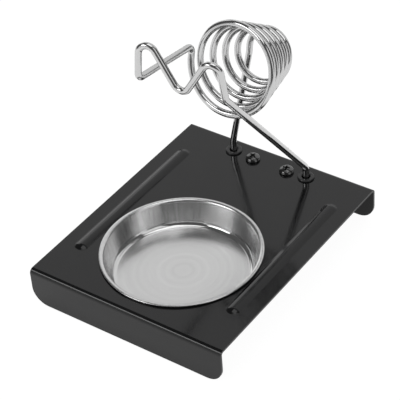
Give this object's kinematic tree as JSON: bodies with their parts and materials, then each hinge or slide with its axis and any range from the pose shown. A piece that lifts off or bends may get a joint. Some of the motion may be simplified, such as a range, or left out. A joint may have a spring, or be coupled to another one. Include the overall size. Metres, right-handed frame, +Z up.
{
  "type": "soldering iron station",
  "caption": "Folded steel base with a lift-out round dish and a bent wire holder: a tapering coil for the iron's barrel and a V-shaped rest in front.",
  "frame": {"origin": "centre of the base on the surface that it stands on", "axes": "+Z up; +Y from the dish at the front towards the legs at the rear; X across the base, the coil's wound end on the -X side"},
  "size_m": [0.09, 0.1116, 0.1047],
  "materials": {
    "black_paint": "semi-gloss black enamel on steel sheet",
    "stainless": "pressed stainless steel, faintly brushed",
    "plated_wire": "bright plated steel wire",
    "black_bush": "smooth black plastic",
    "black_screw": "glossy black coated steel",
    "zinc_plate": "zinc-plated steel"
  },
  "bodies": {
    "base": {"base_plate": "black_paint", "wire_holder": "plated_wire", "leg_bush_left": "black_bush", "leg_bush_right": "black_bush", "clamp_screw_left": "black_screw", "clamp_screw_right": "black_screw", "flat_washer_left": "zinc_plate", "flat_washer_right": "zinc_plate", "spring_washer_left": "zinc_plate", "spring_washer_right": "zinc_plate", "hex_nut_left": "zinc_plate", "hex_nut_right": "zinc_plate"},
    "dish": {"sponge_dish": "stainless"}
  },
  "joints": [
    {"name": "dish_lift", "type": "slide", "parent": "base", "child": "dish", "axis": [0, 0, 1], "range_m": [0, 0.03]}
  ]
}
